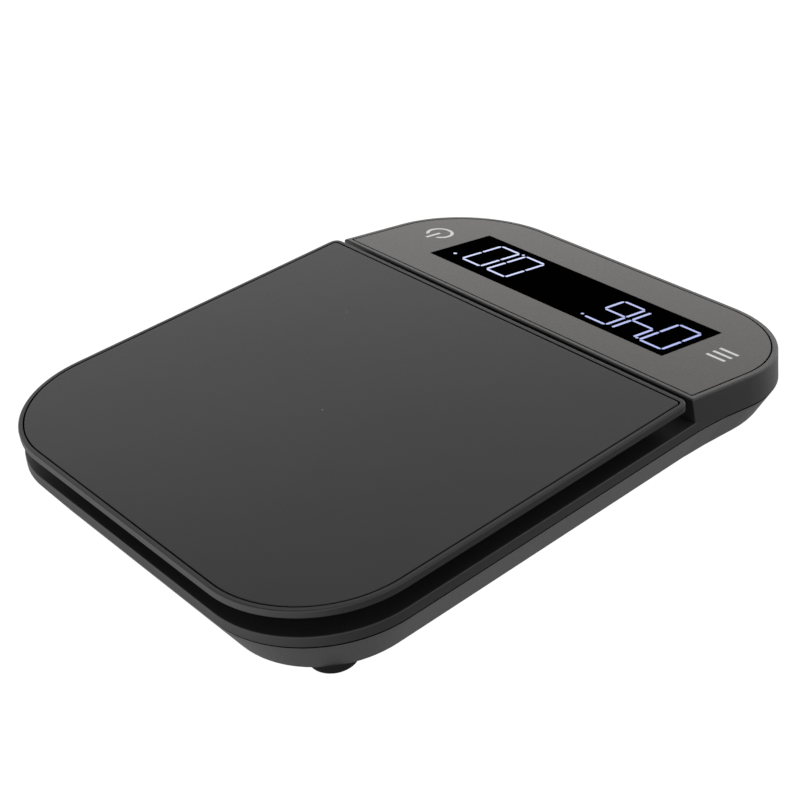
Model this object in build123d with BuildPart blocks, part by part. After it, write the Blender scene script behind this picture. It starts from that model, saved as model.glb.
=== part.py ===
from build123d import *
import math
import os

# A flat, battery-powered bench scale: a weighing platform on a bar load cell, and a sloping
# display console at the user's end. +X is the user's right, +Y points away from the user, +Z is up.
# The origin is on the table, under the centre of the scale. All sizes are in millimetres.

os.makedirs("parts", exist_ok=True)

# ---------------------------------------------------------------- driving dimensions
# Plan outlines, given by the thin grooves around the two top panels. Margins are outwards from them.
groove_width = 0.4
platform_half_width = 60.2
platform_near_y = -28.55
platform_end_y = 77.25
platform_corner = 26.1
console_half_width = 59.1
console_near_y = -33.25
console_length = 44.6
console_corner = 26.0
skin_margin = 1.3
tray_margin = 1.3
console_rim = 1.5

# Heights above the table
panel_top = 21.1
panel_thickness = 1.2
adhesive_thickness = 0.2
console_near_top = 20.1
tray_edge_bottom = 19.25
tray_floor_bottom = 18.1
carrier_bottom = 16.1
deck_top = 14.55
deck_thickness = 1.45
parting_height = 12.15
parting_gap = 0.6
floor_bottom = 1.8
floor_top = 3.6
wall = 2.0

# Slopes, in degrees
console_tilt = 9.75
belly_draft = 28.0
deck_draft = 2.0

# Console, with depths measured square to its sloping face
console_depth = 7.1
parting_bend_reach = 8.0
console_panel_thickness = 1.5
frame_thickness = 1.5
window_width = 80.5
window_height = 21.2
window_x = -0.9
window_y = -20.95
window_clearance = 0.1
window_ledge = 0.8
module_clearance = 0.2
board_depth = 6.0
board_thickness = 1.6
board_width = 108.0
board_height = 22.0
board_y = -21.0
key_y = -22.05
power_key_x = 48.8
menu_key_x = -49.3
symbol_depth = 0.3

# Load cell and its mounting
cell_length = 60.0
cell_width = 12.7
cell_bottom = 4.6
cell_top = 10.6
cell_y = (platform_end_y + platform_near_y) / 2
cell_pad = 14.0
cell_hole_pitch = 7.0
sink_travel = 0.6
m3_radius = 1.5
m3_clearance = 1.6

# Feet
foot_radius = 5.4
foot_seat = 2.6
foot_points = [(47.8, 61.2), (-47.8, 61.2), (47.8, -59.0), (-47.8, -59.0)]

# Screws that close the housing: x, y and the height their upper boss reaches
closing_points = [
    (50.0, -38.5, 16.8),
    (-50.0, -38.5, 16.8),
    (36.0, -68.5, 12.0),
    (-36.0, -68.5, 12.0),
    (50.0, 22.0, 13.2),
    (-50.0, 22.0, 13.2),
    (30.0, 68.6, 13.2),
    (-30.0, 68.6, 13.2),
]
post_top = 7.0
boss_bottom = 7.1
head_seat = 5.0

far = 200.0  # larger than the scale, for cutting planes
overshoot = 20.0  # extra reach of volumes that are trimmed afterwards
head_clearance = 0.1

# ---------------------------------------------------------------- planes and outlines
tilt = math.radians(console_tilt)
console_plane = Plane(
    origin=(0, console_near_y, console_near_top),
    x_dir=(1, 0, 0),
    z_dir=(0, -math.sin(tilt), math.cos(tilt)),
)
skin_half_width = platform_half_width + skin_margin
console_flare = skin_half_width - console_half_width - console_rim
console_draft = math.degrees(math.atan(console_flare / console_depth))
skin_length = console_length + console_rim + console_flare
skin_near_y = (console_plane * Pos(0, -skin_length, -console_depth)).position.Y
# where the level joint line and the sloping joint line would meet
parting_bend_y = console_near_y - (
    console_near_top - console_depth / math.cos(tilt) - parting_height
) / math.tan(tilt)
parting_bend_radius = parting_bend_reach / math.tan(tilt / 2)


def round_ended(plane, half_width, square_y, round_y, corner, square_radius):
    """Plan outline with small corners at square_y and large round corners at round_y."""
    round_end, square_end = (0, -1) if round_y < square_y else (-1, 0)
    with BuildSketch(plane) as outline:
        with Locations((0, (square_y + round_y) / 2)):
            Rectangle(2 * half_width, abs(round_y - square_y))
        fillet(outline.vertices().group_by(Axis.Y)[round_end], corner)
        if square_radius > 0:
            fillet(outline.vertices().group_by(Axis.Y)[square_end], square_radius)
    return outline.sketch


def platform_outline(plane, margin, square_margin, square_radius):
    """Outline of the weighing platform, square towards the console."""
    return round_ended(
        plane,
        platform_half_width + margin,
        platform_near_y - square_margin,
        platform_end_y + margin,
        platform_corner + margin,
        square_radius,
    )


def console_outline(plane, margin, square_margin, square_radius):
    """Outline of the display console, drawn on a plane that slopes with it."""
    return round_ended(
        plane,
        console_half_width + margin,
        square_margin,
        -console_length - margin,
        console_corner + margin,
        square_radius,
    )


def housing_outline(plane, inset):
    """Level outline of the whole housing at the joint line, round at all four corners."""
    half_width = skin_half_width - inset
    user_corner = console_corner + console_rim + console_flare - inset
    far_corner = platform_corner + skin_margin - inset
    near_y = skin_near_y + inset
    far_y = platform_end_y + skin_margin - inset
    with BuildSketch(plane) as outline:
        with Locations((0, (near_y + far_y) / 2)):
            Rectangle(2 * half_width, far_y - near_y)
        fillet(outline.vertices().group_by(Axis.Y)[0], user_corner)
        fillet(outline.vertices().group_by(Axis.Y)[-1], far_corner)
    return outline.sketch


def below_parting(rise):
    """Everything under the joint line between the two housings, raised by rise."""
    level = parting_height + rise
    with BuildPart() as space:
        with BuildSketch(Plane.YZ.offset(-far / 2)):
            with BuildLine():
                flat = Line((far / 2, level), (parting_bend_y + parting_bend_reach, level))
                bend = JernArc(flat @ 1, flat % 1, parting_bend_radius, console_tilt)
                run = -far / 2 - (bend @ 1).X
                fall = Line(bend @ 1, (-far / 2, (bend @ 1).Y + run * math.tan(tilt)))
                Polyline(fall @ 1, (-far / 2, -far / 2), (far / 2, -far / 2), (far / 2, level))
            make_face()
        extrude(amount=far)
    return space.part


def parting_tangent(share):
    """Plane along the joint line, at the given share of the full slope of its bend."""
    angle = tilt * share
    return Plane(
        origin=(
            0,
            parting_bend_y + parting_bend_reach - parting_bend_radius * math.sin(angle),
            parting_height - parting_bend_radius * (1 - math.cos(angle)),
        ),
        x_dir=(1, 0, 0),
        z_dir=(0, -math.sin(angle), math.cos(angle)),
    )


def tub(inset, bottom):
    """Boat-shaped volume under the joint line, with walls that lean in and a flat bottom."""
    depth = 18.0
    overlap = 30.0
    half_width = skin_half_width - inset
    user_corner = console_corner + console_rim + console_flare - inset
    sloping_plane = console_plane.offset(-console_depth)
    user_end = -(skin_length - inset)
    with BuildPart() as volume:
        extrude(
            housing_outline(Plane.XY.offset(parting_height), inset),
            amount=-(parting_height - bottom),
            taper=belly_draft,
        )
        with BuildSketch(sloping_plane) as sloping:
            with Locations((0, (overlap + user_end) / 2)):
                Rectangle(2 * half_width, overlap - user_end)
            fillet(sloping.vertices().group_by(Axis.Y)[0], user_corner)
        extrude(amount=-depth, taper=belly_draft)
        with BuildSketch(parting_tangent(0.5)):
            Rectangle(2 * half_width, overlap)
        extrude(amount=-depth, taper=belly_draft)
        with BuildSketch(Plane.XY.offset(bottom)):
            Rectangle(far, far)
        extrude(amount=-depth, mode=Mode.SUBTRACT)
    return volume.part


def pan_screws(plane, points, head_radius, head_height, shank_radius, length):
    """Cross-head screws with heads seated on plane and shanks pointing along its normal."""
    slot_width = head_radius * 0.3
    slot_length = head_radius * 1.2
    with BuildPart() as screws:
        with BuildSketch(plane):
            with Locations(*points):
                Circle(head_radius)
        extrude(amount=-head_height)
        fillet(screws.edges().filter_by(GeomType.CIRCLE).group_by(SortBy.RADIUS)[-1]
               .sort_by(Axis(plane.origin, plane.z_dir))[: len(points)], head_height * 0.35)
        with BuildSketch(plane):
            with Locations(*points):
                Circle(shank_radius)
        extrude(amount=length)
        with BuildSketch(plane.offset(-head_height)):
            with Locations(*points):
                Rectangle(slot_width, slot_length)
                Rectangle(slot_length, slot_width)
        extrude(amount=head_height * 0.6, mode=Mode.SUBTRACT)
    return screws.part


def flat_screws(plane, points, head_radius, shank_radius, length):
    """Countersunk screws with heads flush with plane and shanks pointing along its normal."""
    head_height = head_radius - shank_radius
    with BuildPart() as screws:
        with BuildSketch(plane):
            with Locations(*points):
                Circle(head_radius)
        extrude(amount=head_height, taper=45)
        with BuildSketch(plane):
            with Locations(*points):
                Circle(shank_radius)
        extrude(amount=length)
        with BuildSketch(plane):
            with Locations(*points):
                RegularPolygon(head_radius * 0.45, 6)
        extrude(amount=head_height * 0.8, mode=Mode.SUBTRACT)
    return screws.part


def wires(starts, turns, ends, radius):
    """Parallel insulated wires, one for each start point, through a shared kind of bend."""
    with BuildPart() as bundle:
        for start, turn, end in zip(starts, turns, ends):
            with BuildLine() as route:
                Spline(start, turn, end)
            with BuildSketch(Plane(origin=route.line @ 0, z_dir=route.line % 0)):
                Circle(radius)
            sweep(path=route.line)
    return bundle.part


# ---------------------------------------------------------------- weighing platform
panel_bottom = panel_top - panel_thickness
tray_floor_top = panel_bottom - adhesive_thickness
screw_y = cell_y + cell_length / 2 - cell_pad / 2
load_points = [(0, screw_y - cell_hole_pitch / 2), (0, screw_y + cell_hole_pitch / 2)]
carrier_width = 96.0
carrier_length = 84.0
carrier_corner = 14.0
carrier_points = [
    (40.0, cell_y + 34),
    (-40.0, cell_y + 34),
    (40.0, cell_y),
    (-40.0, cell_y),
    (40.0, cell_y - 34),
    (-40.0, cell_y - 34),
]
carrier_boss_radius = 2.2
carrier_boss_gap = 0.1
access_radius = 3.4
carrier_pilot_radius = 0.95
carrier_pilot_depth = 3.0
tray_floor_inset = 6.0
tray_edge_radius = 0.35
tray_foot_radius = 0.2
adhesive_inset = 2.0
flat_head_radius = 3.0

with BuildPart() as platform_panel:
    extrude(
        platform_outline(Plane.XY.offset(panel_bottom), -groove_width / 2, -groove_width / 2, 1.0),
        amount=panel_thickness,
    )
    fillet(platform_panel.faces().sort_by(Axis.Z)[-1].edges(), 0.15)

with BuildPart() as panel_adhesive:
    extrude(
        platform_outline(Plane.XY.offset(tray_floor_top), -adhesive_inset, -adhesive_inset, 1.0),
        amount=adhesive_thickness,
    )
    with BuildSketch(Plane.XY.offset(tray_floor_top)):
        with Locations((0, cell_y)):
            RectangleRounded(70, 60, 10)
    extrude(amount=adhesive_thickness, mode=Mode.SUBTRACT)

with BuildPart() as platform_tray:
    extrude(
        platform_outline(Plane.XY.offset(tray_edge_bottom), tray_margin, tray_margin, 2.3),
        amount=panel_top - tray_edge_bottom,
    )
    fillet(platform_tray.faces().sort_by(Axis.Z)[-1].edges(), tray_edge_radius)
    fillet(platform_tray.faces().sort_by(Axis.Z)[0].edges(), tray_foot_radius)
    extrude(
        platform_outline(
            Plane.XY.offset(tray_floor_bottom), -tray_floor_inset, -tray_floor_inset, 2.0
        ),
        amount=tray_edge_bottom - tray_floor_bottom,
    )
    extrude(
        platform_outline(Plane.XY.offset(tray_floor_top), groove_width / 2, groove_width / 2, 1.2),
        amount=panel_thickness + adhesive_thickness,
        mode=Mode.SUBTRACT,
    )
    with BuildSketch(Plane.XY.offset(carrier_bottom)):
        with Locations(*carrier_points):
            Circle(carrier_boss_radius)
    extrude(amount=tray_floor_bottom - carrier_bottom)
    with BuildSketch(Plane.XY.offset(carrier_bottom)):
        with Locations(*carrier_points):
            Circle(carrier_pilot_radius)
    extrude(amount=carrier_pilot_depth, mode=Mode.SUBTRACT)
    with BuildSketch(Plane.XY.offset(tray_floor_bottom)):
        with Locations(*load_points):
            Circle(access_radius)
    extrude(amount=tray_floor_top - tray_floor_bottom, mode=Mode.SUBTRACT)

with BuildPart() as platform_carrier:
    with BuildSketch(Plane.XY.offset(carrier_bottom)):
        with Locations((0, cell_y)):
            RectangleRounded(carrier_width, carrier_length, carrier_corner)
        with Locations(*carrier_points):
            Circle(carrier_boss_radius + carrier_boss_gap, mode=Mode.SUBTRACT)
        with Locations((22, cell_y), (-22, cell_y)):
            SlotOverall(56, 18, rotation=90, mode=Mode.SUBTRACT)
    extrude(amount=tray_floor_bottom - carrier_bottom)
    with Locations(*[(x, y, tray_floor_bottom) for x, y in load_points]):
        CounterSinkHole(m3_clearance, flat_head_radius + head_clearance, counter_sink_angle=90)

with BuildPart() as carrier_screws:
    add(pan_screws(Plane.XY.offset(carrier_bottom), carrier_points, 2.9, 0.8, 0.9, 2.8))

with BuildPart() as platform_spacer:
    with BuildSketch(Plane.XY.offset(cell_top)):
        with Locations((0, screw_y)):
            RectangleRounded(cell_width, cell_pad, 1.5)
        with Locations(*load_points):
            Circle(m3_clearance, mode=Mode.SUBTRACT)
    extrude(amount=carrier_bottom - cell_top)

load_screw_plane = Plane(origin=(0, 0, tray_floor_bottom), x_dir=(1, 0, 0), z_dir=(0, 0, -1))
with BuildPart() as platform_screws:
    mirrored_points = [(x, -y) for x, y in load_points]
    add(flat_screws(load_screw_plane, mirrored_points, flat_head_radius, m3_radius, 11.0))

# ---------------------------------------------------------------- load cell
fixed_y = cell_y - cell_length / 2 + cell_pad / 2
fixed_points = [(0, fixed_y - cell_hole_pitch / 2), (0, fixed_y + cell_hole_pitch / 2)]
cell_middle = (cell_bottom + cell_top) / 2
bore_radius = 2.3
bore_spread = 8.0
stop_radius = 1.6
bore_link = 1.6
gauge_cover_size = (9.5, 27.0)
gauge_cover_thickness = 0.7
stop_recess = 0.2

with BuildPart() as load_cell:
    with BuildSketch(Plane.XY.offset(cell_bottom)):
        with Locations((0, cell_y)):
            Rectangle(cell_width, cell_length)
        with Locations(*load_points, *fixed_points):
            Circle(m3_clearance, mode=Mode.SUBTRACT)
    extrude(amount=cell_top - cell_bottom)
    with BuildSketch(Plane.YZ.offset(-cell_width)):
        with Locations((cell_y - bore_spread, cell_middle), (cell_y + bore_spread, cell_middle)):
            Circle(bore_radius)
        with Locations((cell_y, cell_middle)):
            Rectangle(2 * bore_spread, bore_link)
    extrude(amount=2 * cell_width, mode=Mode.SUBTRACT)

with BuildPart() as gauge_covers:
    for level in (cell_top, cell_bottom - gauge_cover_thickness):
        with BuildSketch(Plane.XY.offset(level)):
            with Locations((0, cell_y)):
                RectangleRounded(*gauge_cover_size, 2)
        extrude(amount=gauge_cover_thickness)

with BuildPart() as cell_spacer:
    with BuildSketch(Plane.XY.offset(floor_top)):
        with Locations((0, fixed_y)):
            RectangleRounded(cell_width, cell_pad, 1.5)
        with Locations(*fixed_points):
            Circle(m3_clearance, mode=Mode.SUBTRACT)
    extrude(amount=cell_bottom - floor_top)

with BuildPart() as cell_screws:
    add(flat_screws(Plane.XY.offset(floor_bottom), fixed_points, flat_head_radius, m3_radius, 7.0))

with BuildPart() as overload_stop:
    with BuildSketch(Plane.XY.offset(floor_bottom + stop_recess)):
        with Locations((0, screw_y)):
            Circle(stop_radius)
    extrude(amount=cell_bottom - sink_travel - floor_bottom - stop_recess)
    with BuildSketch(Plane.XY.offset(floor_bottom + stop_recess)):
        with Locations((0, screw_y)):
            RegularPolygon(0.8, 6)
    extrude(amount=1.0, mode=Mode.SUBTRACT)

# ---------------------------------------------------------------- lower housing
battery_x = 29.0
battery_y = 0.0
battery_size = (34.0, 50.0, 5.0)
battery_pad_thickness = 0.5
usb_board_bottom = 5.1
usb_board_thickness = 1.2
usb_board_size = (20.0, 10.0)
usb_board_y = -70.1
socket_middle = 1.65
socket_recess = 0.8
usb_screw_points = [(7.5, -67.6), (-7.5, -67.6)]
port_width = 9.4
port_height = 3.7
port_z = usb_board_bottom + usb_board_thickness + socket_middle
buzzer_point = (-28.0, -52.0)
buzzer_radius = 6.0
post_radius = 3.2
head_hole_radius = 2.3
screw_hole_radius = 1.2
usb_post_radius = 2.0
usb_pilot_radius = 0.9
usb_pilot_depth = 2.0
cradle_height = 1.8
cradle_wall = 1.2
cradle_clearance = 0.4
wire_gap = 10.0
buzzer_clearance = 0.1
lip_rise = 0.8
lip_root = -2.0
lip_clearance = 0.25
lip_width = 1.0
belly_wall = 2.3
bottom_round = 1.2

with BuildPart() as port_space:
    with BuildSketch(Plane.XZ.offset(-skin_near_y - 5)):
        with Locations((0, port_z)):
            RectangleRounded(port_width, port_height, port_height / 2 - 0.01)
    extrude(amount=10)

with BuildPart() as lower_housing:
    add(tub(0.0, floor_bottom))
    fillet(lower_housing.faces().sort_by(Axis.Z)[0].edges(), bottom_round)
    add(tub(belly_wall, floor_top), mode=Mode.SUBTRACT)
    add(below_parting(-parting_gap), mode=Mode.INTERSECT)

with BuildPart() as closing_lip:
    lip_inset = wall + lip_clearance
    extrude(housing_outline(Plane.XY, lip_inset), amount=overshoot)
    extrude(housing_outline(Plane.XY, lip_inset + lip_width), amount=overshoot, mode=Mode.SUBTRACT)
    add(below_parting(lip_rise), mode=Mode.INTERSECT)
    add(below_parting(lip_root), mode=Mode.SUBTRACT)
    add(port_space.part, mode=Mode.SUBTRACT)

post_points = [(x, y) for x, y, top in closing_points]

with lower_housing:
    add(closing_lip.part)
    with BuildSketch(Plane.XY.offset(floor_bottom)):
        with Locations(*post_points):
            Circle(post_radius)
    extrude(amount=post_top - floor_bottom)
    with BuildSketch(Plane.XY.offset(floor_top)):
        with Locations(*usb_screw_points):
            Circle(usb_post_radius)
    extrude(amount=usb_board_bottom - floor_top)
    with BuildSketch(Plane.XY.offset(floor_top)):
        with Locations((battery_x, battery_y)):
            grown = 2 * (cradle_clearance + cradle_wall)
            Rectangle(battery_size[0] + grown, battery_size[1] + grown)
            grown = 2 * cradle_clearance
            Rectangle(battery_size[0] + grown, battery_size[1] + grown, mode=Mode.SUBTRACT)
            Rectangle(wire_gap, battery_size[1] + 4 * cradle_wall, mode=Mode.SUBTRACT)
        with Locations(buzzer_point):
            Circle(buzzer_radius + cradle_wall)
            Circle(buzzer_radius + buzzer_clearance, mode=Mode.SUBTRACT)
    extrude(amount=cradle_height)
    with BuildSketch(Plane.XY.offset(floor_bottom)):
        with Locations(*post_points):
            Circle(head_hole_radius)
    extrude(amount=head_seat - floor_bottom, mode=Mode.SUBTRACT)
    with BuildSketch(Plane.XY.offset(floor_bottom)):
        with Locations(*post_points):
            Circle(screw_hole_radius)
    extrude(amount=post_top, mode=Mode.SUBTRACT)
    with BuildSketch(Plane.XY.offset(usb_board_bottom - usb_pilot_depth)):
        with Locations(*usb_screw_points):
            Circle(usb_pilot_radius)
    extrude(amount=usb_pilot_depth, mode=Mode.SUBTRACT)
    with BuildSketch(Plane.XY):
        with Locations(*foot_points):
            Circle(foot_radius + head_clearance)
    extrude(amount=foot_seat, mode=Mode.SUBTRACT)
    with BuildSketch(Plane.XY.offset(floor_bottom)):
        with Locations(*fixed_points):
            Circle(flat_head_radius + head_clearance)
    extrude(amount=flat_head_radius + head_clearance - m3_clearance, taper=45, mode=Mode.SUBTRACT)
    with BuildSketch(Plane.XY.offset(floor_bottom)):
        with Locations(*fixed_points):
            Circle(m3_clearance)
    extrude(amount=floor_top - floor_bottom, mode=Mode.SUBTRACT)
    with BuildSketch(Plane.XY):
        with Locations((0, screw_y)):
            Circle(stop_radius + 0.02)
    extrude(amount=floor_top, mode=Mode.SUBTRACT)

with BuildPart() as rubber_feet:
    with BuildSketch(Plane.XY):
        with Locations(*foot_points):
            Circle(foot_radius)
    extrude(amount=foot_seat)
    fillet(rubber_feet.edges().filter_by(GeomType.CIRCLE).group_by(Axis.Z)[0], 0.4)

with BuildPart() as housing_screws:
    add(pan_screws(Plane.XY.offset(head_seat), post_points, 2.1, 1.6, 1.0, 5.4))

# ---------------------------------------------------------------- upper housing
board_screw_points = [(44.0, -12.0), (-44.0, -12.0), (44.0, -30.0), (-44.0, -30.0)]
frame_bottom = console_panel_thickness + frame_thickness
deck_opening = (17.0, 18.0)
collar_height = 0.5
deck_reach = platform_near_y - console_near_y - console_rim + 0.5
near_wall_y = console_near_y + console_rim
near_wall_thickness = 2.2
near_corner_radius = 0.8
console_edge_radius = 0.4
deck_edge_radius = 0.3
boss_radius = 2.8
boss_pilot_radius = 1.05
boss_pilot_depth = 3.5
board_post_radius = 2.2
board_post_root = 0.2
board_pilot_radius = 0.85
board_pilot_depth = 3.0
key_opening_radius = 5.0

with BuildPart() as console_block:
    extrude(
        console_outline(console_plane, console_rim, console_rim + overshoot, 0.0),
        amount=-overshoot,
        taper=-console_draft,
    )
    with BuildSketch(Plane.XY):
        with Locations((0, near_wall_y - far / 2)):
            Rectangle(2 * skin_half_width, far)
    extrude(amount=2 * overshoot, mode=Mode.INTERSECT)
    near_wall = console_block.faces().filter_by(Axis.Y).sort_by(Axis.Y)[-1]
    fillet(near_wall.edges().sort_by(Axis.X)[0], near_corner_radius)
    near_wall = console_block.faces().filter_by(Axis.Y).sort_by(Axis.Y)[-1]
    fillet(near_wall.edges().sort_by(Axis.X)[-1], near_corner_radius)
    console_top = console_block.faces().sort_by(Axis(console_plane.origin, console_plane.z_dir))[-1]
    fillet(console_top.edges(), console_edge_radius)

with BuildPart() as console_cavity:
    extrude(
        console_outline(console_plane, console_rim - wall, -near_wall_thickness, 1.0),
        amount=-overshoot,
        taper=-console_draft,
    )
    with BuildSketch(console_plane.offset(-frame_bottom)):
        Rectangle(far, far)
    extrude(amount=-2 * overshoot, mode=Mode.INTERSECT)

with BuildPart() as panel_pocket:
    extrude(
        console_outline(
            console_plane.offset(-console_panel_thickness), groove_width / 2, groove_width / 2, 0.4
        ),
        amount=console_panel_thickness + overshoot,
    )

with BuildPart() as upper_housing:
    extrude(
        platform_outline(Plane.XY.offset(parting_height), skin_margin, deck_reach, 0.0),
        amount=deck_top - parting_height,
        taper=deck_draft,
    )
    fillet(upper_housing.faces().sort_by(Axis.Z)[-1].edges(), deck_edge_radius)
    add(console_block.part)
    extrude(
        platform_outline(Plane.XY, skin_margin - wall, 22.0, 1.0),
        amount=deck_top - deck_thickness,
        mode=Mode.SUBTRACT,
    )
    add(console_cavity.part, mode=Mode.SUBTRACT)
    add(panel_pocket.part, mode=Mode.SUBTRACT)
    add(below_parting(0), mode=Mode.SUBTRACT)
    # bosses for the closing screws
    for x, y, top in closing_points:
        with BuildSketch(Plane.XY.offset(boss_bottom)):
            with Locations((x, y)):
                Circle(boss_radius)
        extrude(amount=top - boss_bottom)
        with BuildSketch(Plane.XY.offset(boss_bottom)):
            with Locations((x, y)):
                Circle(boss_pilot_radius)
        extrude(amount=boss_pilot_depth, mode=Mode.SUBTRACT)
    # posts and openings under the console panel
    with BuildSketch(console_plane.offset(-frame_bottom + board_post_root)):
        with Locations(*board_screw_points):
            Circle(board_post_radius)
    extrude(amount=-(board_depth - frame_bottom + board_post_root))
    with BuildSketch(console_plane.offset(-board_depth)):
        with Locations(*board_screw_points):
            Circle(board_pilot_radius)
    extrude(amount=board_pilot_depth, mode=Mode.SUBTRACT)
    with BuildSketch(console_plane):
        with Locations((window_x, window_y)):
            Rectangle(window_width - 2 * window_ledge, window_height - 2 * window_ledge)
        with Locations((power_key_x, key_y), (menu_key_x, key_y)):
            Circle(key_opening_radius)
    extrude(amount=-frame_bottom - 0.5, mode=Mode.SUBTRACT)
    # opening in the deck for the platform spacer, with a raised drip collar
    with BuildSketch(Plane.XY.offset(deck_top)):
        with Locations((0, screw_y)):
            RectangleRounded(deck_opening[0] + 3, deck_opening[1] + 3, 3)
    extrude(amount=collar_height)
    with BuildSketch(Plane.XY.offset(deck_top + collar_height)):
        with Locations((0, screw_y)):
            RectangleRounded(deck_opening[0], deck_opening[1], 2)
    extrude(amount=-(deck_thickness + collar_height), mode=Mode.SUBTRACT)
    # charging port in the user's end wall
    add(port_space.part, mode=Mode.SUBTRACT)

# ---------------------------------------------------------------- console face
segment_width = 0.75
segment_gap = 0.35
digit_width = 7.65
digit_height = 14.95
bars = {
    "top": (0, 1, 0),
    "middle": (0, 0, 0),
    "bottom": (0, -1, 0),
    "upper left": (-1, 0.5, 90),
    "upper right": (1, 0.5, 90),
    "lower left": (-1, -0.5, 90),
    "lower right": (1, -0.5, 90),
}
zero = {"top", "bottom", "upper left", "upper right", "lower left", "lower right"}
four = {"middle", "upper left", "upper right", "lower right"}
six = {"top", "middle", "bottom", "upper left", "lower left", "lower right"}
# places in the window, from its centre
digits = [
    (-34.4, 0.9, zero),
    (-25.6, 0.9, four),
    (-16.7, 0.9, six),
    (19.65, -0.6, zero),
    (28.9, -0.6, zero),
]
dots = [(24.3, -7.9, 0.4), (-29.9, 7.6, 0.4), (-12.2, 7.6, 0.4), (36.0, 5.65, 0.5)]


def digit_bars(lit):
    """Places of the bars of every digit that are lit, or of those that are dark."""
    places = []
    reach_x = (digit_width - segment_width) / 2
    reach_y = (digit_height - segment_width) / 2
    for x, y, shown in digits:
        for bar, (side, height, turn) in bars.items():
            if (bar in shown) == lit:
                places.append(
                    (window_x + x + side * reach_x, window_y + y + height * reach_y, turn)
                )
    return places


def bar_shapes(plane, lit, thickness):
    """Six-sided light bars of the digits as thin solids hanging under plane."""
    across = digit_width - segment_width - segment_gap
    upright = (digit_height - segment_width) / 2 - segment_gap
    with BuildPart() as shapes:
        with BuildSketch(plane):
            for x, y, turn in digit_bars(lit):
                half = (upright if turn else across) / 2
                nib = segment_width / 2
                with Locations(Location((x, y, 0), (0, 0, turn))):
                    Polygon(
                        (-half, 0),
                        (nib - half, nib),
                        (half - nib, nib),
                        (half, 0),
                        (half - nib, -nib),
                        (nib - half, -nib),
                        align=None,
                    )
            if lit:
                for x, y, radius in dots:
                    with Locations((window_x + x, window_y + y)):
                        Circle(radius)
        extrude(amount=-thickness)
    return shapes.part


module_top = console_panel_thickness + 0.05
module_plane = console_plane.offset(-module_top)
bar_thickness = 0.4

with BuildPart() as display_bars_lit:
    add(bar_shapes(module_plane, True, bar_thickness))

with BuildPart() as display_bars_dark:
    add(bar_shapes(module_plane, False, bar_thickness))

with BuildPart() as display_module:
    with BuildSketch(module_plane):
        with Locations((window_x, window_y)):
            Rectangle(
                window_width - 2 * window_ledge - 2 * module_clearance,
                window_height - 2 * window_ledge - 2 * module_clearance,
            )
    extrude(amount=-(board_depth - module_top))
    add(bar_shapes(module_plane, True, bar_thickness), mode=Mode.SUBTRACT)
    add(bar_shapes(module_plane, False, bar_thickness), mode=Mode.SUBTRACT)

with BuildPart() as display_window:
    with BuildSketch(console_plane):
        with Locations((window_x, window_y)):
            Rectangle(window_width, window_height)
    extrude(amount=-console_panel_thickness)

ring_radius = 3.3
ring_width = 0.9
ring_gap = 3.6
power_bar_height = 4.9
menu_bar_width = 5.4
menu_bar_pitch = 2.4

with BuildPart() as key_symbols:
    with BuildSketch(console_plane):
        with Locations((power_key_x, key_y)):
            Circle(ring_radius + ring_width / 2)
            Circle(ring_radius - ring_width / 2, mode=Mode.SUBTRACT)
        with Locations((power_key_x, key_y + ring_radius)):
            Rectangle(ring_gap, ring_radius, mode=Mode.SUBTRACT)
        with Locations((power_key_x, key_y + power_bar_height / 2)):
            Rectangle(ring_width, power_bar_height)
        with Locations((menu_key_x, key_y)):
            with GridLocations(0, menu_bar_pitch, 1, 3):
                Rectangle(menu_bar_width, ring_width)
    extrude(amount=-symbol_depth)

with BuildPart() as console_panel:
    extrude(
        console_outline(console_plane, -groove_width / 2, -groove_width / 2, 0.3),
        amount=-console_panel_thickness,
    )
    with BuildSketch(console_plane):
        with Locations((window_x, window_y)):
            Rectangle(window_width + 2 * window_clearance, window_height + 2 * window_clearance)
    extrude(amount=-console_panel_thickness, mode=Mode.SUBTRACT)
    add(key_symbols.part, mode=Mode.SUBTRACT)

# ---------------------------------------------------------------- electronics
with BuildPart() as main_board:
    with BuildSketch(console_plane.offset(-board_depth)):
        with Locations((0, board_y)):
            RectangleRounded(board_width, board_height, 2)
        with Locations(*board_screw_points):
            Circle(1.1, mode=Mode.SUBTRACT)
    extrude(amount=-board_thickness)

board_screw_plane = Plane(
    origin=console_plane.offset(-(board_depth + board_thickness)).origin,
    x_dir=(1, 0, 0),
    z_dir=console_plane.z_dir,
)
with BuildPart() as board_screws:
    add(pan_screws(board_screw_plane, board_screw_points, 1.9, 1.2, 0.8, 4.2))

with BuildPart() as board_chips:
    chip_plane = console_plane.offset(-(board_depth + board_thickness))
    with BuildSketch(chip_plane):
        with Locations((8, -20)):
            Rectangle(9, 9)
        with Locations((-10, -16), (24, -24)):
            Rectangle(5, 6)
        with Locations((-22, -26), (30, -14)):
            Rectangle(3.2, 2.5)
    extrude(amount=-1.2)

key_ring_outer = 4.7
key_ring_inner = 4.0
with BuildPart() as touch_rings:
    with BuildSketch(console_plane.offset(-console_panel_thickness)):
        with Locations((power_key_x, key_y), (menu_key_x, key_y)):
            Circle(key_ring_outer)
            Circle(key_ring_inner, mode=Mode.SUBTRACT)
    extrude(amount=-(board_depth - console_panel_thickness))

with BuildPart() as key_lamps:
    with BuildSketch(console_plane.offset(-board_depth)):
        with Locations((power_key_x, key_y), (menu_key_x, key_y)):
            Rectangle(2.0, 1.25)
    extrude(amount=0.8)

with BuildPart() as battery_pad:
    with BuildSketch(Plane.XY.offset(floor_top)):
        with Locations((battery_x, battery_y)):
            Rectangle(battery_size[0] - 8, battery_size[1] - 8)
    extrude(amount=battery_pad_thickness)

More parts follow.
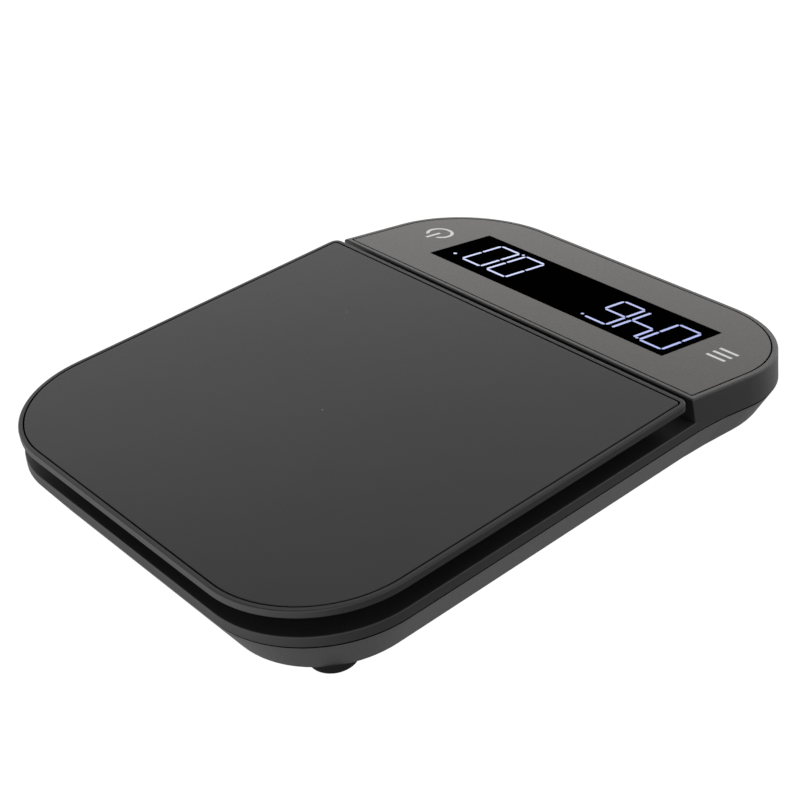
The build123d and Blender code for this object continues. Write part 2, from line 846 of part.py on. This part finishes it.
with BuildPart() as battery_cell:
    with BuildSketch(Plane.XY.offset(floor_top + battery_pad_thickness)):
        with Locations((battery_x, battery_y)):
            RectangleRounded(battery_size[0], battery_size[1], 2)
    extrude(amount=battery_size[2])
    fillet(battery_cell.faces().sort_by(Axis.Z)[-1].edges(), 1.2)

with BuildPart() as buzzer:
    with BuildSketch(Plane.XY.offset(floor_top)):
        with Locations(buzzer_point):
            Circle(buzzer_radius)
    extrude(amount=2.8)
    with BuildSketch(Plane.XY.offset(floor_top + 1.0)):
        with Locations(buzzer_point):
            Circle(1.2)
    extrude(amount=2.0, mode=Mode.SUBTRACT)

with BuildPart() as usb_board:
    with BuildSketch(Plane.XY.offset(usb_board_bottom)):
        with Locations((0, usb_board_y)):
            Rectangle(*usb_board_size)
        with Locations(*usb_screw_points):
            Circle(1.1, mode=Mode.SUBTRACT)
    extrude(amount=usb_board_thickness)

with BuildPart() as usb_screws:
    usb_screw_plane = Plane(
        origin=(0, 0, usb_board_bottom + usb_board_thickness), x_dir=(1, 0, 0), z_dir=(0, 0, -1)
    )
    add(pan_screws(usb_screw_plane, [(x, -y) for x, y in usb_screw_points], 1.8, 1.0, 0.8, 2.8))

socket_front = -skin_near_y - socket_recess
socket_length = 7.3
with BuildPart() as usb_socket:
    with BuildSketch(Plane.XZ.offset(socket_front)):
        with Locations((0, port_z)):
            RectangleRounded(8.9, 3.2, 1.55)
            RectangleRounded(8.3, 2.6, 1.25, mode=Mode.SUBTRACT)
    extrude(amount=-socket_length)
    with BuildSketch(Plane.XZ.offset(socket_front - socket_length)):
        with Locations((0, port_z)):
            RectangleRounded(8.5, 2.8, 1.3)
    extrude(amount=1.0)
    with BuildSketch(Plane.XZ.offset(socket_front - socket_length + 1.0)):
        with Locations((0, port_z)):
            Rectangle(6.6, 0.7)
    extrude(amount=socket_length - 1.6)

wire_radius = 0.5
cell_end_y = cell_y - cell_length / 2
lanes = [-2.1, -0.7, 0.7, 2.1]
with BuildPart() as cell_wires:
    add(
        wires(
            [(x, cell_end_y - 0.2, cell_middle) for x in lanes],
            [(x * 0.9, -28.0, 6.2) for x in lanes],
            [(x, -44.5, 9.8) for x in lanes],
            wire_radius,
        )
    )

battery_front_y = battery_y - battery_size[1] / 2
with BuildPart() as battery_wires:
    add(
        wires(
            [(x, battery_front_y - 0.2, floor_top + 3.0) for x in (27.0, 29.0)],
            [(x - 1, -34.0, 6.4) for x in (27.0, 29.0)],
            [(x - 2, -46.0, 9.6) for x in (27.0, 29.0)],
            wire_radius,
        )
    )

with BuildPart() as usb_wires:
    add(
        wires(
            [(x, -64.9, 5.7) for x in (-2.0, 0.0, 2.0)],
            [(x, -62.0, 5.9) for x in (-2.0, 0.0, 2.0)],
            [(x, -58.6, 7.35) for x in (-2.0, 0.0, 2.0)],
            wire_radius,
        )
    )

# ---------------------------------------------------------------- export
pieces = {
    "platform_panel": platform_panel,
    "panel_adhesive": panel_adhesive,
    "platform_tray": platform_tray,
    "platform_carrier": platform_carrier,
    "carrier_screws": carrier_screws,
    "platform_spacer": platform_spacer,
    "platform_screws": platform_screws,
    "load_cell": load_cell,
    "gauge_covers": gauge_covers,
    "cell_spacer": cell_spacer,
    "cell_screws": cell_screws,
    "cell_wires": cell_wires,
    "overload_stop": overload_stop,
    "lower_housing": lower_housing,
    "rubber_feet": rubber_feet,
    "housing_screws": housing_screws,
    "upper_housing": upper_housing,
    "console_panel": console_panel,
    "key_symbols": key_symbols,
    "display_window": display_window,
    "display_bars_lit": display_bars_lit,
    "display_bars_dark": display_bars_dark,
    "display_module": display_module,
    "main_board": main_board,
    "board_screws": board_screws,
    "board_chips": board_chips,
    "touch_rings": touch_rings,
    "key_lamps": key_lamps,
    "battery_cell": battery_cell,
    "battery_pad": battery_pad,
    "battery_wires": battery_wires,
    "buzzer": buzzer,
    "usb_board": usb_board,
    "usb_screws": usb_screws,
    "usb_socket": usb_socket,
    "usb_wires": usb_wires,
}
for name, piece in pieces.items():
    piece.part.label = name
    export_step(piece.part, f"parts/{name}.step")
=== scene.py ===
"""Finishes, light and camera for a flat matt black bench scale.

Lengths are in metres. Those given in millimetres are multiplied by MM where they are used.
"""

import math

import bmesh
import bpy
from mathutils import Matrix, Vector


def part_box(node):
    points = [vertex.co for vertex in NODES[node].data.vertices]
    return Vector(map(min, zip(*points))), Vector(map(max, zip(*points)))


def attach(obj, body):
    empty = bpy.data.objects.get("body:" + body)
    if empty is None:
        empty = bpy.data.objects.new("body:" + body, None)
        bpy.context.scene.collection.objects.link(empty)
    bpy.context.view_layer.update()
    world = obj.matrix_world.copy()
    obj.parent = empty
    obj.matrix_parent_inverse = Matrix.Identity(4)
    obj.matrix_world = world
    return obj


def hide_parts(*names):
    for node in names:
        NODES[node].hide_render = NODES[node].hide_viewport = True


MM = 0.001
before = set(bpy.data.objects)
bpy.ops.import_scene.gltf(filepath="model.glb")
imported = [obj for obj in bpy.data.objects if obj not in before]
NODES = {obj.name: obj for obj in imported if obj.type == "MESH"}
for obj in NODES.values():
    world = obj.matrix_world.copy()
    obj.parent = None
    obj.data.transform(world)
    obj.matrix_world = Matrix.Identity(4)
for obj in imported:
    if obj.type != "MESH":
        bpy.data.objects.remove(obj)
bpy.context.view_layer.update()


def add_object(name, data):
    piece = bpy.data.objects.new(name, data)
    bpy.context.scene.collection.objects.link(piece)
    return piece


# ---------------------------------------------------------------- node helpers
def link(tree, source, target):
    tree.links.new(source, target)


def value_ramp(tree, source, low, high, out_low, out_high):
    """Maps source from low..high to out_low..out_high, held at both ends."""
    node = tree.nodes.new("ShaderNodeMapRange")
    node.clamp = True
    node.inputs["From Min"].default_value = low
    node.inputs["From Max"].default_value = high
    node.inputs["To Min"].default_value = out_low
    node.inputs["To Max"].default_value = out_high
    link(tree, source, node.inputs["Value"])
    return node.outputs["Result"]


def combine(tree, operation, first, second):
    node = tree.nodes.new("ShaderNodeMath")
    node.operation = operation
    link(tree, first, node.inputs[0])
    link(tree, second, node.inputs[1])
    return node.outputs[0]


def mix_colour(tree, factor, first, second):
    node = tree.nodes.new("ShaderNodeMix")
    node.data_type = "RGBA"
    link(tree, factor, node.inputs[0])
    for socket, colour in ((node.inputs[6], first), (node.inputs[7], second)):
        if hasattr(colour, "links"):
            link(tree, colour, socket)
        else:
            socket.default_value = (*colour, 1.0)
    return node.outputs[2]


def separate_axes(tree, vector):
    node = tree.nodes.new("ShaderNodeSeparateXYZ")
    link(tree, vector, node.inputs[0])
    return node.outputs


def noise(tree, position, scale, detail, stretch=(1, 1, 1)):
    node = tree.nodes.new("ShaderNodeTexNoise")
    node.inputs["Scale"].default_value = scale
    node.inputs["Detail"].default_value = detail
    if stretch != (1, 1, 1):
        mapping = tree.nodes.new("ShaderNodeMapping")
        mapping.inputs["Scale"].default_value = stretch
        link(tree, position, mapping.inputs["Vector"])
        position = mapping.outputs["Vector"]
    link(tree, position, node.inputs["Vector"])
    return node.outputs["Fac"]


# ---------------------------------------------------------------- layers of a surface
DUST_COLOUR = (0.35, 0.35, 0.34)
DUST_CELLS = 70.0  # cells to a metre of object space, of which a few hold a speck
SPECK_CORE, SPECK_EDGE = 0.010, 0.022  # distance from a cell's point, in cells
RARE_FROM, RARE_TO = 0.80, 0.84  # of the cells' random values, those above hold a speck

EDGE_RADIUS = 0.25 * MM
EDGE_SAMPLES = 4
SHARP_TURN, NO_TURN = 0.80, 0.99  # cosine between the rounded and the true normal
EDGE_WEAR = 0.7

# Painted shade in narrow gaps and hollows, set by how closed in the surface is.
CLOSED_SHARE, OPEN_SHARE = 0.30, 0.66  # share of open directions: painted shade in full, and no painted shade
HOLLOW_SAMPLES = 12
PAINTED_SHADE_COLOUR = (0.0015, 0.0015, 0.0015)
PAINTED_SHADE_GLOSS = 0.08  # part of the specular level that is left in a closed gap, as painted shade

GLOW_FAR_X, GLOW_NEAR_X = -0.040, 0.020  # where the far and the near tint of a glow are reached


def add_dust(tree, position, base, amount):
    """Rare small specks of pale dust."""
    cells = tree.nodes.new("ShaderNodeTexVoronoi")
    cells.inputs["Scale"].default_value = DUST_CELLS
    link(tree, position, cells.inputs["Vector"])
    speck = value_ramp(tree, cells.outputs["Distance"], SPECK_CORE, SPECK_EDGE, amount, 0.0)
    chosen = tree.nodes.new("ShaderNodeSeparateColor")
    link(tree, cells.outputs["Color"], chosen.inputs["Color"])
    rare = value_ramp(tree, chosen.outputs["Red"], RARE_FROM, RARE_TO, 0.0, 1.0)
    return mix_colour(tree, combine(tree, "MULTIPLY", speck, rare), base, DUST_COLOUR)


def add_worn_edges(tree, base, edge):
    """Edges rubbed towards the colour edge, where a rounded normal turns away from the true one."""
    bevel = tree.nodes.new("ShaderNodeBevel")
    bevel.samples = EDGE_SAMPLES
    bevel.inputs["Radius"].default_value = EDGE_RADIUS
    geometry = tree.nodes.new("ShaderNodeNewGeometry")
    facing = tree.nodes.new("ShaderNodeVectorMath")
    facing.operation = "DOT_PRODUCT"
    link(tree, bevel.outputs["Normal"], facing.inputs[0])
    link(tree, geometry.outputs["Normal"], facing.inputs[1])
    worn = value_ramp(tree, facing.outputs["Value"], SHARP_TURN, NO_TURN, EDGE_WEAR, 0.0)
    return mix_colour(tree, worn, base, edge)


def add_painted_hollow_shade(tree, bsdf, base, reach, specular):
    """Painted shade: dark, dull colour wherever the surface is closed in within reach millimetres.

    It is painted on top of the shade that the light itself leaves there.
    """
    hollow = tree.nodes.new("ShaderNodeAmbientOcclusion")
    hollow.samples = HOLLOW_SAMPLES
    hollow.inputs["Distance"].default_value = reach * MM
    openness = hollow.outputs["AO"]
    share = value_ramp(tree, openness, CLOSED_SHARE, OPEN_SHARE, 0.0, 1.0)
    gloss = value_ramp(
        tree, openness, CLOSED_SHARE, OPEN_SHARE, specular * PAINTED_SHADE_GLOSS, specular
    )
    link(tree, gloss, bsdf.inputs["Specular IOR Level"])
    return mix_colour(tree, share, PAINTED_SHADE_COLOUR, base)


def add_glow(tree, bsdf, position, blotches, glow, glow_far):
    """Own light of a tint and strength, a little uneven, shifting to glow_far along X if given."""
    tint, strength = glow
    if glow_far is not None:
        across = separate_axes(tree, position)["X"]
        share = value_ramp(tree, across, GLOW_FAR_X, GLOW_NEAR_X, 0.0, 1.0)
        tint = mix_colour(tree, share, glow_far, tint)
    uneven = value_ramp(tree, blotches, 0.3, 0.7, 0.90, 1.0)
    link(tree, mix_colour(tree, uneven, (0, 0, 0), tint), bsdf.inputs["Emission Color"])
    bsdf.inputs["Emission Strength"].default_value = strength


def surface(
    name,
    colour,
    shade,
    rough,
    rough_spread=0.08,
    grain=2500.0,
    grain_height=0.01,
    blotch=35.0,
    stretch=(1, 1, 1),
    metallic=0.0,
    specular=0.5,
    edge=None,
    glow=None,
    glow_far=None,
    dust=0.0,
    painted_shade_reach=0.0,
):
    """A procedural surface: blotches from colour to shade, and fine grain in height and gloss.

    edge is the colour of worn edges, dust the strength of specks, glow a (tint, strength), and
    painted_shade_reach the distance in millimetres within which painted shade darkens narrow gaps.
    grain_height is in millimetres. grain and blotch are scales of the noise, to a metre.
    """
    material = bpy.data.materials.new(name)
    material.use_nodes = True
    tree = material.node_tree
    bsdf = tree.nodes["Principled BSDF"]
    position = tree.nodes.new("ShaderNodeTexCoord").outputs["Object"]
    blotches = noise(tree, position, blotch, 3.0)
    fine = noise(tree, position, grain, 2.0, stretch)
    base = mix_colour(tree, value_ramp(tree, blotches, 0.35, 0.65, 0.0, 1.0), colour, shade)
    roughness = value_ramp(tree, fine, 0.3, 0.7, rough - rough_spread, rough + rough_spread)
    bsdf.inputs["Specular IOR Level"].default_value = specular
    bsdf.inputs["Metallic"].default_value = metallic
    if dust:
        base = add_dust(tree, position, base, dust)
    if edge is not None:
        base = add_worn_edges(tree, base, edge)
    # painted shade in narrow gaps and hollows
    if painted_shade_reach:
        base = add_painted_hollow_shade(tree, bsdf, base, painted_shade_reach, specular)
    link(tree, base, bsdf.inputs["Base Color"])
    link(tree, roughness, bsdf.inputs["Roughness"])
    bump = tree.nodes.new("ShaderNodeBump")
    bump.inputs["Strength"].default_value = 1.0
    bump.inputs["Distance"].default_value = grain_height * MM
    link(tree, fine, bump.inputs["Height"])
    link(tree, bump.outputs["Normal"], bsdf.inputs["Normal"])
    if glow is not None:
        add_glow(tree, bsdf, position, blotches, glow, glow_far)
    return material


def grey(level, warmth=0.0):
    return (level * (1 + warmth), level, level * (1 - warmth))


# ---------------------------------------------------------------- materials
WARM_REFLECTION = (1.0, 0.955, 0.925, 1.0)

# Where a reach is given, shade is painted into that finish's narrow gaps and hollows.
materials = {
    "platform_panel": surface(
        "matt_panel", grey(0.0135), grey(0.0175, 0.02), 0.36, 0.06, grain=3000,
        grain_height=0.004, blotch=22.0, dust=0.5, painted_shade_reach=1.2,
    ),
    "shell": surface(
        "satin_shell", grey(0.015), grey(0.018), 0.38, grain=4500, grain_height=0.006,
        edge=grey(0.028), painted_shade_reach=5.0,
    ),
    "console_panel": surface(
        "console_face", grey(0.007, 0.45), grey(0.011, 0.35), 0.30, 0.05, grain=3000,
        grain_height=0.0012, specular=0.39, painted_shade_reach=1.2,
    ),
    "window": surface(
        "smoked_window", grey(0.0003), grey(0.0005), 0.10, 0.02, grain=900,
        grain_height=0.0003, specular=0.0,
    ),
    "symbol": surface(
        "lit_symbol", grey(0.46), grey(0.50), 0.4, grain=2000, glow=((0.62, 0.63, 0.66), 0.33),
    ),
    "bar_lit": surface(
        "lit_bar", grey(0.05), grey(0.06), 0.4, grain=2000, glow=((0.58, 0.63, 0.95), 1.0),
        glow_far=(0.33, 0.39, 0.80),
    ),
    "bar_dark": surface("dark_bar", grey(0.03), grey(0.04), 0.4),
    "module": surface("light_box", grey(0.012), grey(0.016), 0.55),
    "tape": surface("adhesive_film", (0.62, 0.60, 0.55), (0.55, 0.53, 0.48), 0.5),
    "alloy": surface(
        "cast_alloy", grey(0.42), grey(0.36), 0.42, grain=1800, grain_height=0.02,
        metallic=1.0, edge=grey(0.6), painted_shade_reach=9.0,
    ),
    "milled": surface(
        "milled_alloy", grey(0.62), grey(0.56), 0.30, grain=900, stretch=(1, 12, 1),
        metallic=1.0, edge=grey(0.8), painted_shade_reach=6.0,
    ),
    "steel": surface(
        "plated_steel", grey(0.45), grey(0.38), 0.30, grain=2600, metallic=1.0, edge=grey(0.7),
    ),
    "black_steel": surface(
        "blackened_steel", grey(0.03), grey(0.05), 0.38, grain=2600, metallic=0.6,
        edge=grey(0.2),
    ),
    "sealant": surface("gauge_sealant", grey(0.78), (0.74, 0.72, 0.66), 0.45, blotch=120.0),
    "rubber": surface(
        "foot_rubber", grey(0.004), grey(0.006), 0.62, grain=5000, grain_height=0.02,
        edge=grey(0.012), specular=0.2,
    ),
    "foam": surface("black_foam", grey(0.015), grey(0.03), 0.85, grain=6000, grain_height=0.08),
    "board": surface(
        "board_mask", (0.012, 0.10, 0.03), (0.010, 0.075, 0.024), 0.32, grain=1500,
        edge=(0.30, 0.26, 0.12),
    ),
    "chip": surface("chip_body", grey(0.02), grey(0.028), 0.55, grain=6000, edge=grey(0.06)),
    "lamp": surface("lamp_body", (0.8, 0.78, 0.6), (0.76, 0.72, 0.5), 0.35),
    "pouch": surface(
        "pouch_film", grey(0.55), grey(0.48), 0.28, grain=400, grain_height=0.05, metallic=0.9,
    ),
    "wire": surface("wire_skin", (0.35, 0.02, 0.015), (0.28, 0.015, 0.012), 0.38, grain=3000),
    "socket": surface(
        "socket_shell", grey(0.55), grey(0.48), 0.22, grain=2200, metallic=1.0, edge=grey(0.8),
    ),
    # Painted shade: a near black, dull finish for the faces in the housings' joint.
    "gap": surface("painted_gap_shade", grey(0.0008), grey(0.0012), 0.8, specular=0.02),
}
console_bsdf = materials["console_panel"].node_tree.nodes["Principled BSDF"]
console_bsdf.inputs["Specular Tint"].default_value = WARM_REFLECTION

nodes_by_finish = {
    "platform_panel": ["platform_panel"],
    "console_panel": ["console_panel"],
    "shell": ["platform_tray", "upper_housing", "lower_housing"],
    "window": ["display_window"],
    "symbol": ["key_symbols"],
    "bar_lit": ["display_bars_lit"],
    "bar_dark": ["display_bars_dark"],
    "module": ["display_module"],
    "tape": ["panel_adhesive"],
    "alloy": ["platform_carrier"],
    "milled": ["platform_spacer", "load_cell", "cell_spacer"],
    "steel": ["carrier_screws", "platform_screws", "overload_stop", "board_screws", "usb_screws"],
    "black_steel": ["cell_screws", "housing_screws"],
    "sealant": ["gauge_covers"],
    "rubber": ["rubber_feet"],
    "foam": ["touch_rings", "battery_pad"],
    "board": ["main_board", "usb_board"],
    "chip": ["board_chips", "buzzer"],
    "lamp": ["key_lamps"],
    "pouch": ["battery_cell"],
    "wire": ["cell_wires", "battery_wires", "usb_wires"],
    "socket": ["usb_socket"],
}


def dress(piece, finish):
    piece.data.materials.clear()
    piece.data.materials.append(materials[finish])


for finish, names in nodes_by_finish.items():
    for name in names:
        dress(NODES[name], finish)


def paint_ledge_shade(node):
    """Every level face of the node that looks up is painted near black, as painted shade where
    little light reaches.

    On the lower housing these are the ledge and the lip in the joint, which show as a dark line
    from outside, and the floor inside, which doesn't show.
    """
    level = 0.9
    NODES[node].data.materials.append(materials["gap"])
    for face in NODES[node].data.polygons:
        if face.normal.z > level:
            face.material_index = 1


paint_ledge_shade("lower_housing")


# ---------------------------------------------------------------- pieces made here
def stand_in(piece, node, finish):
    """piece rides on the base and stands for the CAD node."""
    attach(piece, "base")
    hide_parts(node)
    dress(piece, finish)


def smooth_object(name, shape):
    """An object of smooth faces from a bmesh, which is freed."""
    mesh = bpy.data.meshes.new(name)
    bmesh.ops.recalc_face_normals(shape, faces=shape.faces)
    shape.to_mesh(mesh)
    shape.free()
    for face in mesh.polygons:
        face.use_smooth = True
    return add_object(name, mesh)


TILT = math.radians(9.75)
CONSOLE_NORMAL = Vector((0, -math.sin(TILT), math.cos(TILT)))
WINDOW_RISE = 1.55 * MM  # from the face of the bars to the face of the window
LIGHT_RISE = 0.02 * MM  # how far the light stands proud of the window
FLATTENING = 0.9  # part of the bars' own depth that is taken away


def lift_bars():
    """The lit bars as seen on the face of the window, as thin plates just proud of it."""
    mesh = NODES["display_bars_lit"].data.copy()
    mesh.name = "display_light"
    top = max(CONSOLE_NORMAL.dot(vertex.co) for vertex in mesh.vertices)
    for vertex in mesh.vertices:
        depth = top - CONSOLE_NORMAL.dot(vertex.co)
        vertex.co += CONSOLE_NORMAL * (WINDOW_RISE + LIGHT_RISE + depth * FLATTENING)
    return add_object("display_light", mesh)


stand_in(lift_bars(), "display_bars_lit", "bar_lit")


def turned(name, profile, places, segments=48):
    """Closed solids of revolution about +Z, one at each place, from (radius, height) in mm."""
    shape = bmesh.new()
    for place in places:
        rings = []
        for radius, height in profile:
            if radius == 0:
                rings.append([shape.verts.new(Vector((place[0], place[1], height)) * MM)])
                continue
            ring = []
            for step in range(segments):
                angle = 2 * math.pi * step / segments
                x = place[0] + radius * math.cos(angle)
                y = place[1] + radius * math.sin(angle)
                ring.append(shape.verts.new(Vector((x, y, height)) * MM))
            rings.append(ring)
        for low, high in zip(rings, rings[1:]):
            for step in range(segments):
                after = (step + 1) % segments
                if len(low) == 1:
                    shape.faces.new((low[0], high[after], high[step]))
                elif len(high) == 1:
                    shape.faces.new((low[step], low[after], high[0]))
                else:
                    shape.faces.new((low[step], low[after], high[after], high[step]))
    return smooth_object(name, shape)


# The feet's centres and their outline from the middle of the sole to the middle of the top, in mm.
FOOT_X = 47.8
FOOT_FAR_Y, FOOT_NEAR_Y = 61.2, -59.0
foot_places = [(side * FOOT_X, y) for y in (FOOT_FAR_Y, FOOT_NEAR_Y) for side in (1, -1)]
foot_profile = [
    (0, 0.25), (3.4, 0.22), (3.7, 0.05), (3.9, 0.0), (4.6, 0.0), (4.95, 0.1), (5.22, 0.35),
    (5.34, 0.7), (5.38, 1.1), (5.38, 2.2), (5.3, 2.5), (5.1, 2.6), (0, 2.6),
]
stand_in(turned("moulded_feet", foot_profile, foot_places), "rubber_feet", "rubber")

SWELL_POWER = 6  # how flat the swell stays before it falls off at the edges
EDGE_PULL = 0.12  # how far the sides draw in, as a part of the rise
PULL_POWER = 3


def puffed(name, node, rise, cuts):
    """A soft copy of a plain block node. Its broad faces keep their full height in the middle, and
    fall towards the edges by rise, a part of half the node's height."""
    low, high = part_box(node)
    middle = (low + high) / 2
    half = (high - low) / 2
    shape = bmesh.new()
    bmesh.ops.create_cube(shape, size=2.0)
    bmesh.ops.subdivide_edges(shape, edges=shape.edges[:], cuts=cuts, use_grid_fill=True)
    for vertex in shape.verts:
        x, y, z = vertex.co
        swell = max(0.0, 1 - abs(x) ** SWELL_POWER) * max(0.0, 1 - abs(y) ** SWELL_POWER)
        draw_in = 1 - rise * EDGE_PULL * abs(z) ** PULL_POWER
        puffed_point = (x * draw_in, y * draw_in, z * (1 - rise + rise * swell))
        vertex.co = Vector([middle[i] + puffed_point[i] * half[i] for i in range(3)])
    return smooth_object(name, shape)


stand_in(puffed("pouch_cell", "battery_cell", 0.22, 24), "battery_cell", "pouch")
stand_in(puffed("soft_pad", "battery_pad", 0.30, 16), "battery_pad", "foam")


def soften(node, width):
    """Rounded edges, width in mm, on a soft node that keeps its CAD mesh underneath."""
    bevel = NODES[node].modifiers.new("soft_edges", "BEVEL")
    bevel.width = width * MM
    bevel.segments = 3
    bevel.limit_method = "ANGLE"
    bevel.angle_limit = math.radians(35)


soften("touch_rings", 0.12)
soften("gauge_covers", 0.2)

# ---------------------------------------------------------------- floor
FLOOR_HALF = 6.0
FLOOR_Z = -0.1 * MM
# How strongly the floor lights the scale, along one axis: (axis, from, to, strength at from,
# strength at to), held beyond both. The strongest of the four counts at each place.
FLOOR_LIGHT = [
    ("Y", 0.080, 0.105, 0.08, 1.15),  # rises beyond the platform end
    ("Y", -0.105, -0.080, 0.90, 0.08),  # rises beyond the user's end
    ("X", 0.062, 0.090, 0.08, 0.80),  # rises beyond the right side
    ("X", -0.086, -0.066, 0.10, 0.38),  # falls beyond the left side, and is 0.38 elsewhere
]


def floor_plane():
    mesh = bpy.data.meshes.new("floor")
    signs = [(-1, -1), (1, -1), (1, 1), (-1, 1)]
    corners = [(x * FLOOR_HALF, y * FLOOR_HALF, FLOOR_Z) for x, y in signs]
    mesh.from_pydata(corners, [], [(0, 1, 2, 3)])
    return add_object("floor", mesh)


def floor_finish():
    """A white that shines evenly for the camera, and by FLOOR_LIGHT for everything else."""
    material = bpy.data.materials.new("pale_floor")
    material.use_nodes = True
    tree = material.node_tree
    bsdf = tree.nodes["Principled BSDF"]
    bsdf.inputs["Base Color"].default_value = (0.10, 0.10, 0.10, 1)
    bsdf.inputs["Roughness"].default_value = 0.9
    bsdf.inputs["Specular IOR Level"].default_value = 0.0
    bsdf.inputs["Emission Color"].default_value = (1, 1, 1, 1)
    place = separate_axes(tree, tree.nodes.new("ShaderNodeNewGeometry").outputs["Position"])
    strength = tree.nodes.new("ShaderNodeLightPath").outputs["Is Camera Ray"]
    for axis, start, end, at_start, at_end in FLOOR_LIGHT:
        ramp = value_ramp(tree, place[axis], start, end, at_start, at_end)
        strength = combine(tree, "MAXIMUM", strength, ramp)
    link(tree, strength, bsdf.inputs["Emission Strength"])
    return material


floor = floor_plane()
floor.data.materials.append(floor_finish())

# ---------------------------------------------------------------- sky, lamp and camera
SKY_LOW, SKY_HIGH = 0.20, 0.74  # sine of the height above the horizon
LOW_STRENGTH, HIGH_STRENGTH = 1.62, 0.11
LAMP_PLACE = Vector((0.0, -0.1, 0.9))
LAMP_SIDE = 1.0
LAMP_POWER = 2.0
CAMERA_PLACE = (-0.257396, 0.192208, 0.21581)
CAMERA_TURN = (57.239, 6.059, -130.412)  # degrees about X, Y and Z
LENS, SENSOR = 72.942, 36.0  # millimetres


def add_sky():
    """A studio that is brightest low down, and darker overhead."""
    world = bpy.data.worlds.new("studio")
    bpy.context.scene.world = world
    world.use_nodes = True
    tree = world.node_tree
    background = tree.nodes["Background"]
    background.inputs["Color"].default_value = (1, 1, 1, 1)
    height = separate_axes(tree, tree.nodes.new("ShaderNodeTexCoord").outputs["Generated"])["Z"]
    strength = value_ramp(tree, height, SKY_LOW, SKY_HIGH, LOW_STRENGTH, HIGH_STRENGTH)
    link(tree, strength, background.inputs["Strength"])


def add_lamp():
    """A square softbox above the scale, turned to its middle."""
    lamp = bpy.data.lights.new("overhead_light", "AREA")
    lamp.shape = "RECTANGLE"
    lamp.size = LAMP_SIDE
    lamp.size_y = LAMP_SIDE
    lamp.energy = LAMP_POWER
    piece = add_object("overhead_light", lamp)
    piece.location = LAMP_PLACE
    piece.rotation_mode = "QUATERNION"
    piece.rotation_quaternion = (-LAMP_PLACE).to_track_quat("-Z", "Y")


def add_camera():
    data = bpy.data.cameras.new("camera")
    data.sensor_width = SENSOR
    data.lens = LENS
    data.clip_start = 0.01
    data.clip_end = 50.0
    camera = add_object("camera", data)
    camera.location = CAMERA_PLACE
    camera.rotation_euler = [math.radians(angle) for angle in CAMERA_TURN]
    bpy.context.scene.camera = camera


add_sky()
add_lamp()
add_camera()
bpy.context.scene.view_settings.view_transform = "Standard"
